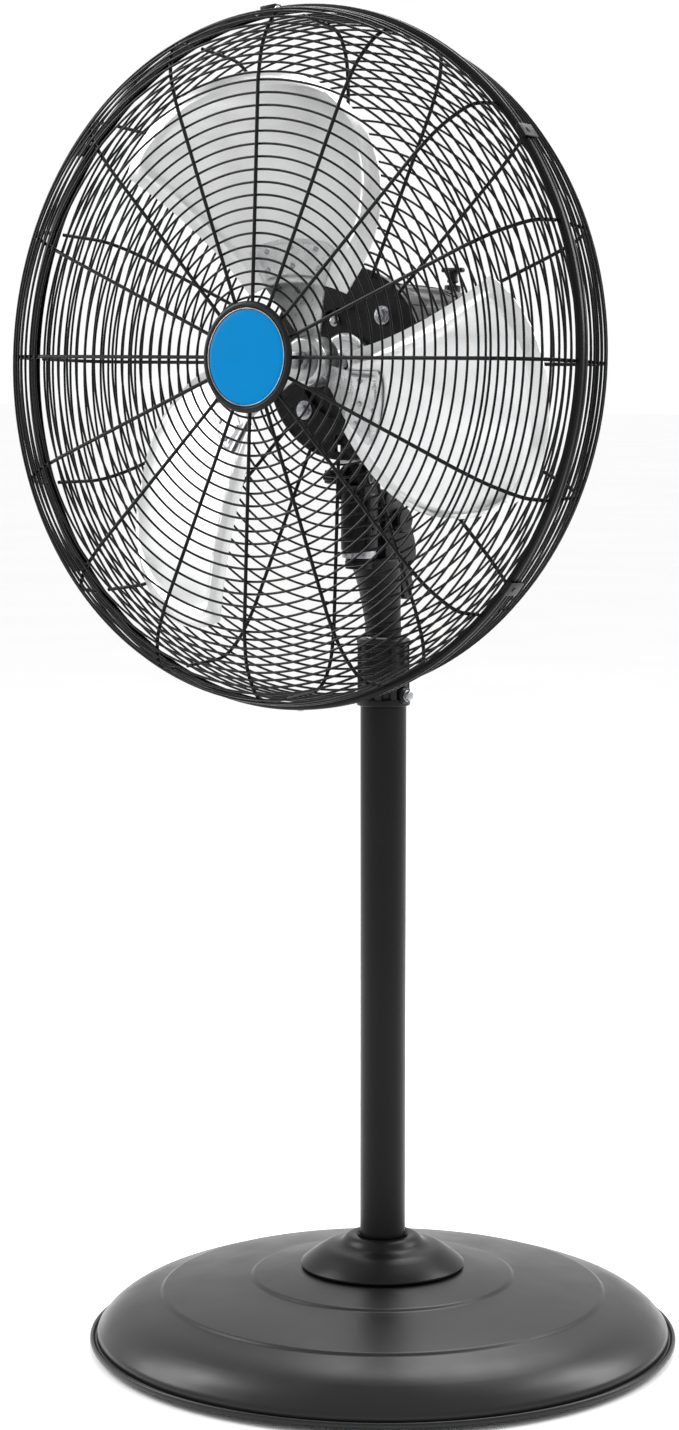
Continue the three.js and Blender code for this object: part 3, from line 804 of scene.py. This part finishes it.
def wirePlaces(corner, start, pitch, side):
    # (radius, height) of each ring: evenly spaced on the flat face, closer round the corner
    flat = corner[0][0]
    count = round((flat - start) / guardLook["pitch"])
    rings = [(start + (flat - start) * i / count, corner[0][1]) for i in range(count)]
    onFace = count + 1
    line = curveThrough(corner)
    lengths = [0.0]
    for k in range(1, len(line)):
        lengths.append(lengths[-1] + (line[k] - line[k - 1]).length)
    count = round(lengths[-1] / pitch)
    for i in range(count):
        goal = lengths[-1] * i / count
        k = next(n for n in range(1, len(line)) if lengths[n] >= goal)
        share = (goal - lengths[k - 1]) / (lengths[k] - lengths[k - 1])
        spot = line[k - 1].lerp(line[k], share)
        rings.append((spot.x, spot.y))
    inset = guardLook["rib"] + guardLook["wire"] - 0.35
    placed = []
    for k, (radius, height) in enumerate(rings):
        before, after = Vector(rings[max(k - 1, 0)]), Vector(rings[min(k + 1, len(rings) - 1)])
        along = (after - before).normalized()
        over = inset if side < 0 or k > onFace else -inset
        placed.append((radius + abs(along.y) * over, height + side * abs(along.x) * over))
    return placed


def makeGuard(name, corner, start, side, replaced):
    # side is 1 for the front half and -1 for the rear half
    rings = wirePlaces(corner, start + guardLook["pitch"] * 0.8, guardLook["cornerPitch"], side)
    wires = merged(*[wireRing(radius, height, guardLook["wire"]) for radius, height in rings])
    makePiece(name + "Rings", wires, fanPlace, finish["wireBlack"], "head",
              [replaced + "_face"])
    path = [(start, 0, corner[0][1]), ((start + corner[0][0]) / 2, 0, corner[0][1])]
    path += [(spot.x, 0, spot.y) for spot in curveThrough(corner, 6)]
    ribs = around(sweep(path, guardLook["rib"]), guardLook["ribs"])
    makePiece(name + "Ribs", ribs, fanPlace, finish["wireBlack"], "head",
              [replaced + "_wall"])


bandLook = {
    "profile": [(361.2, -6, 0.4), (367.4, -6, 1.6), (369, -4.4, 1.4), (369, -2.6, 0.6), (367.9, -1.6, 0.8),
                (367.9, 1.6, 0.8), (369, 2.6, 0.6), (369, 4.4, 1.4), (367.4, 6, 1.6), (361.2, 6, 0.4),
                (361.2, 4.8, 0.3), (366.4, 4.6, 0.8), (366.4, -4.6, 0.8), (361.2, -4.8, 0.3)],
    "seam": 96, "clips": [38, 142, 218, 322], "lowerScrew": 274,   # degrees round from +X
    "screwAside": 13.5,
}


def makeBand():
    makePiece("guardBand", ringPart(bandLook["profile"], 200, 3), fanPlace, finish["powderBlack"], "head",
              ["guard_band"])
    seam = math.radians(bandLook["seam"] - 90)
    plate = shifted(softened(block(21, 4.4, 10), 0.9), 0, bandRadius + 1.3)
    makePiece("bandJointPlate", spun(plate, seam), fanPlace, finish["powderBlack"], "head",
              ["band_joint_plate"])
    for i, side in enumerate((-1, 1)):
        screw = turnedPart([(0, 0), (3.4, 0, 0.3), (3.2, 2, 0.9), (1.5, 2.4, 0.3), (1.3, 1.4, 0.2),
                            (0, 1.4)], 32)
        screw = spun(shifted(screw, side * bandLook["screwAside"], bandRadius - 3.2, 5.4), seam)
        makePiece(f"bandJointScrew{i + 1}", screw, fanPlace, finish["zincSteel"], "head",
                  [f"band_joint_screw_{i + 1}"])
    lower = turnedPart([(0, 0), (4, 0, 0.3), (3.6, 2, 0.8), (1.8, 2.4, 0.4), (1.6, 1.2, 0.2), (0, 1.2)], 32)
    lower = shifted(spun(lower, -math.pi / 2, "X"), 0, bandRadius - 1.2)
    lower = spun(lower, math.radians(bandLook["lowerScrew"] - 90))
    makePiece("bandLowerScrew", lower, fanPlace, finish["zincSteel"], "head")
    for i, degrees in enumerate(bandLook["clips"]):
        top = shifted(softened(block(16, 2.4, 23.6), 0.8), 0, bandRadius + 1.6)
        sides = merged(*[shifted(softened(block(16, 5.2, 3), 0.8), 0, bandRadius + 0.1, side * 9.6)
                         for side in (-1, 1)])
        screw = spun(turnedPart([(0, 0), (3, 0, 0.3), (2.8, 1.2, 0.6), (0, 1.4)], 32), -math.pi / 2, "X")
        clip = merged(top, sides, shifted(screw, 0, bandRadius + 2.4))
        clip = spun(clip, math.radians(degrees - 90))
        makePiece(f"guardClip{i + 1}", clip, fanPlace, finish["plasticBlack"], "head",
                  [f"guard_clip_{i + 1}"])


makeGuard("frontGuard", guardLook["front"], guardLook["frontFrom"], 1, "front_guard")
makeGuard("rearGuard", guardLook["rear"], guardLook["rearFrom"], -1, "rear_guard")
makeBand()
print("guard made")

badgeLook = {
    "bezel": [(0, 68.2, 0), (55.5, 68.2, 1.5), (58, 70.5, 1.5), (58, 73.4, 2), (55.6, 75.5, 1.6),
              (52.4, 75.5, 1), (51, 73.4, 0.4), (0, 73.4, 0)],
    "line": [(49.6, 73.4, 0), (50.9, 73.4, 0.2), (50.8, 75.3, 0.3), (49.7, 75.3, 0.3)],
    "disc": [(0, 73.4, 0), (49.4, 73.4, 0), (49.4, 74.4, 0.6), (47, 75.2, 3), (0, 75.8, 0)],
}


def makeBadge():
    makePiece("badgeBezel", turnedPart(badgeLook["bezel"], 128), fanPlace, finish["plasticBlack"], "head",
              ["badge_bezel"])
    makePiece("badgeLine", ringPart(badgeLook["line"], 128), fanPlace, finish["zincSteel"], "head")
    makePiece("badgeDisc", turnedPart(badgeLook["disc"], 128), fanPlace, finish["badgeBlue"], "head",
              ["badge_disc"])


makeBadge()
print("badge made")

bladeLook = {
    "count": 3, "root": 82, "tip": 322, "gauge": 1.5, "grid": 88,
    "rearEdge": (60, 30, 2.1),       # degrees at the root, degrees more at the tip, how late they come
    "forwardEdge": (125, 12, 0.8),
    "corners": (37, 2.4),            # how far the tip's corners are cut back, how abruptly
    "pitch": (-48, 94, 8),           # the rear edge, the rise across the blade, the belly between
    "pitchShare": (0.55, 0.45),      # share of that pitch at the root, and how much more at the tip
    "middle": -14,
    "beadIn": 15, "beadWide": 3.0, "beadHigh": 3.4, "edgeDrop": 0.26,
}


def bladeSpot(out, across):
    # out: 0 at the root, 1 at the tip; across: 0 at the rear edge, 1 at the forward edge
    start, more, power = bladeLook["rearEdge"]
    rearEdge = start + more * out ** power
    start, more, power = bladeLook["forwardEdge"]
    forwardEdge = start + more * out ** power
    cutBack, power = bladeLook["corners"]
    reach = bladeLook["tip"] - bladeLook["root"] - cutBack * abs(2 * across - 1) ** power
    angle = math.radians(rearEdge + (forwardEdge - rearEdge) * across)
    radius = bladeLook["root"] + reach * out
    low, rise, belly = bladeLook["pitch"]
    pitch = low + rise * across + belly * math.sin(math.pi * across)
    atRoot, more = bladeLook["pitchShare"]
    height = bladeLook["middle"] + pitch * (atRoot + more * out)
    return Vector((radius * math.cos(angle), radius * math.sin(angle), height))


def bladeSheet(offset):
    # the stamped sheet, with its bead that follows the edge
    count = bladeLook["grid"]
    spots = []
    for i in range(count + 1):
        for j in range(count + 1):
            out, across = i / count, j / count
            spot = bladeSpot(out, across)
            chord = (bladeSpot(out, 1) - bladeSpot(out, 0)).length
            length = (bladeSpot(1, across) - bladeSpot(0, across)).length
            gaps = [across * chord, (1 - across) * chord, (1 - out) * length]
            inward = sum(max(gap, 0.5) ** -5 for gap in gaps) ** -0.2
            away = (inward - bladeLook["beadIn"]) / bladeLook["beadWide"]
            bead = bladeLook["beadHigh"] * math.exp(-away ** 2)
            drop = bladeLook["edgeDrop"] * max(0, bladeLook["beadIn"] - inward)
            fade = min(1.0, out / 0.25)
            spots.append(spot + Vector((0, 0, offset + (bead - drop) * fade)))
    return spots


def makeBlade(i):
    half = bladeLook["gauge"] / 2
    sheet = sheetPart(bladeSheet(-half) + bladeSheet(half), bladeLook["grid"])
    blade = spun(sheet, -fullTurn * i / bladeLook["count"])
    makePiece(f"blade{i + 1}", blade, fanPlace, finish["bladeAluminium"], "rotor",
              [f"blade_{i + 1}"], 50)


spiderLook = {
    "reach": 0.19,              # how far out on the blade each arm goes, as a share of its length
    "from": 0.2, "to": 0.8,     # where the arm lies across the blade
    "hubShare": 0.4,            # share of the arm that is inside the blade's root
    "gauge": 2.2, "above": 3.4, "grid": 44,
    "beadIn": 0.085, "beadWide": 0.028, "beadHigh": 1.5,
    "rivet": 3.1,
    "rivets": ((0.62, 0.14), (0.62, 0.5), (0.62, 0.86), (0.88, 0.2), (0.88, 0.5), (0.88, 0.8)),
}


def armSpot(out, across):
    # from the hub's side out onto the front of the blade's root
    share = spiderLook["from"] + (spiderLook["to"] - spiderLook["from"]) * across
    hubShare = spiderLook["hubShare"]
    if out >= hubShare:
        onBlade = bladeSpot((out - hubShare) / (1 - hubShare) * spiderLook["reach"], share)
        onBlade.z += spiderLook["above"]
        return onBlade
    root = bladeSpot(0, share)
    root.z += spiderLook["above"]
    onHub = Vector((root.x * 0.3, root.y * 0.3, -37 + (root.z + 14) * 0.34))
    t = out / hubShare
    return onHub.lerp(root, t * t * (3 - 2 * t) * 0.5 + t * 0.5)


def makeArm(i):
    count = spiderLook["grid"]
    row = count + 1
    points = []
    for offset in (-spiderLook["gauge"] / 2, spiderLook["gauge"] / 2):
        for a in range(row):
            for b in range(row):
                out, across = a / count, b / count
                trim = 0.05 * max(0, (abs(across - 0.5) - 0.36) / 0.14) ** 2
                inward = min(across, 1 - across, (1 - out) * 1.1, max(0, out - 0.42) * 1.1)
                away = (inward - spiderLook["beadIn"]) / spiderLook["beadWide"]
                lift = spiderLook["beadHigh"] * math.exp(-away * away)
                points.append(armSpot(out * (1 - trim), across) + Vector((0, 0, offset + lift)))
    return spun(sheetPart(points, count), -fullTurn * i / bladeLook["count"])


def makeRivets(i):
    heads = []
    size = spiderLook["rivet"]
    for out, across in spiderLook["rivets"]:
        spot = armSpot(out, across)
        away = (armSpot(out + 0.04, across) - spot).cross(armSpot(out, across + 0.04) - spot).normalized()
        away = away if away.z > 0 else -away
        head = turnedPart([(0, 0.2), (size, 0.2, 0.2), (size * 0.9, 1.6, 0.7), (0, 2.3)], 24)
        turn = Vector((0, 0, 1)).rotation_difference(away).to_matrix().to_4x4()
        heads.append(moved(head, Matrix.Translation(spot + away * 0.8) @ turn))
    return spun(merged(*heads), -fullTurn * i / bladeLook["count"])


def makeRotor():
    for i in range(bladeLook["count"]):
        makeBlade(i)
    arms = merged(*[makeArm(i) for i in range(bladeLook["count"])])
    hub = ringPart([(7.3, -56, 0.4), (22, -56, 1), (27, -50, 2), (27, -24, 2), (23, -18, 2),
                    (7.3, -18, 0.4)], 80)
    makePiece("spider", merged(arms, hub), fanPlace, finish["machinedAluminium"], "rotor",
              ["spider"])
    rivets = merged(*[makeRivets(i) for i in range(bladeLook["count"])])
    makePiece("bladeRivets", rivets, fanPlace, finish["zincSteel"], "rotor")
    shaft = turnedPart([(0, -98.1), (7, -98.1), (7, -19, 1), (0, -18.2)], 48)
    makePiece("shaft", shaft, fanPlace, finish["tubeSteel"], "rotor", ["shaft"])
    makePiece("hubNut", hexagon(10.8, -17.7, -9.8), fanPlace, finish["zincSteel"], "rotor",
              ["hub_nut"])


makeRotor()
print("rotor made")

studioLook = {
    "floor": 40.0, "floorRough": 0.9,
    "floorDark": (0.955, 0.955, 0.955), "floorLight": (0.975, 0.975, 0.975),
    "worldSeen": 1.0, "worldLight": 1.0,   # brightness to the camera and to the fan
    "lamps": [
        # name, degrees round from the front, distance, height, size across, size up, power
        ("leftSoftbox", -66, 2.9, 2.3, 1.3, 2.2, 85),
        ("rightSoftbox", 142, 2.9, 2.3, 1.3, 2.2, 85),
        ("topSoftbox", 200, 1.8, 3.2, 2.0, 1.6, 60),
    ],
    "aimHeight": 0.25,
}


def addFloor():
    size = studioLook["floor"]
    corners = [(-size, -size, 0), (size, -size, 0), (size, size, 0), (-size, size, 0)]
    mesh = rawMesh("floor", (corners, [[0, 1, 2, 3]]))
    material, nodes, links = newMaterial("paleFloor")
    shader = nodes["Principled BSDF"]
    shade = mottled(nodes, links, 1.5, 3, 0, 1)
    links.new(twoColours(nodes, links, shade, studioLook["floorDark"], studioLook["floorLight"]),
              shader.inputs["Base Color"])
    shader.inputs["Roughness"].default_value = studioLook["floorRough"]
    mesh.materials.append(material)
    floor = bpy.data.objects.new("floor", mesh)
    bpy.context.scene.collection.objects.link(floor)


def addWorld():
    world = bpy.data.worlds.new("studio")
    world.use_nodes = True
    nodes, links = world.node_tree.nodes, world.node_tree.links
    background = nodes["Background"]
    path = nodes.new("ShaderNodeLightPath")
    reach = nodes.new("ShaderNodeMapRange")
    reach.inputs["To Min"].default_value = studioLook["worldLight"]
    reach.inputs["To Max"].default_value = studioLook["worldSeen"]
    links.new(path.outputs["Is Camera Ray"], reach.inputs["Value"])
    links.new(reach.outputs["Result"], background.inputs["Strength"])
    background.inputs["Color"].default_value = (1, 1, 1, 1)
    bpy.context.scene.world = world


def addLamps():
    for name, degrees, distance, height, across, up, power in studioLook["lamps"]:
        light = bpy.data.lights.new(name, "AREA")
        light.shape = "RECTANGLE"
        light.size = across
        light.size_y = up
        light.energy = power
        lamp = bpy.data.objects.new(name, light)
        angle = math.radians(degrees)
        lamp.location = (distance * math.sin(angle), -distance * math.cos(angle), height)
        aim = Vector((0, 0, studioLook["aimHeight"])) - lamp.location
        lamp.rotation_euler = aim.to_track_quat("-Z", "Y").to_euler()
        bpy.context.scene.collection.objects.link(lamp)


addFloor()
addWorld()
addLamps()
bpy.context.scene.view_settings.view_transform = "Standard"
print("studio made")
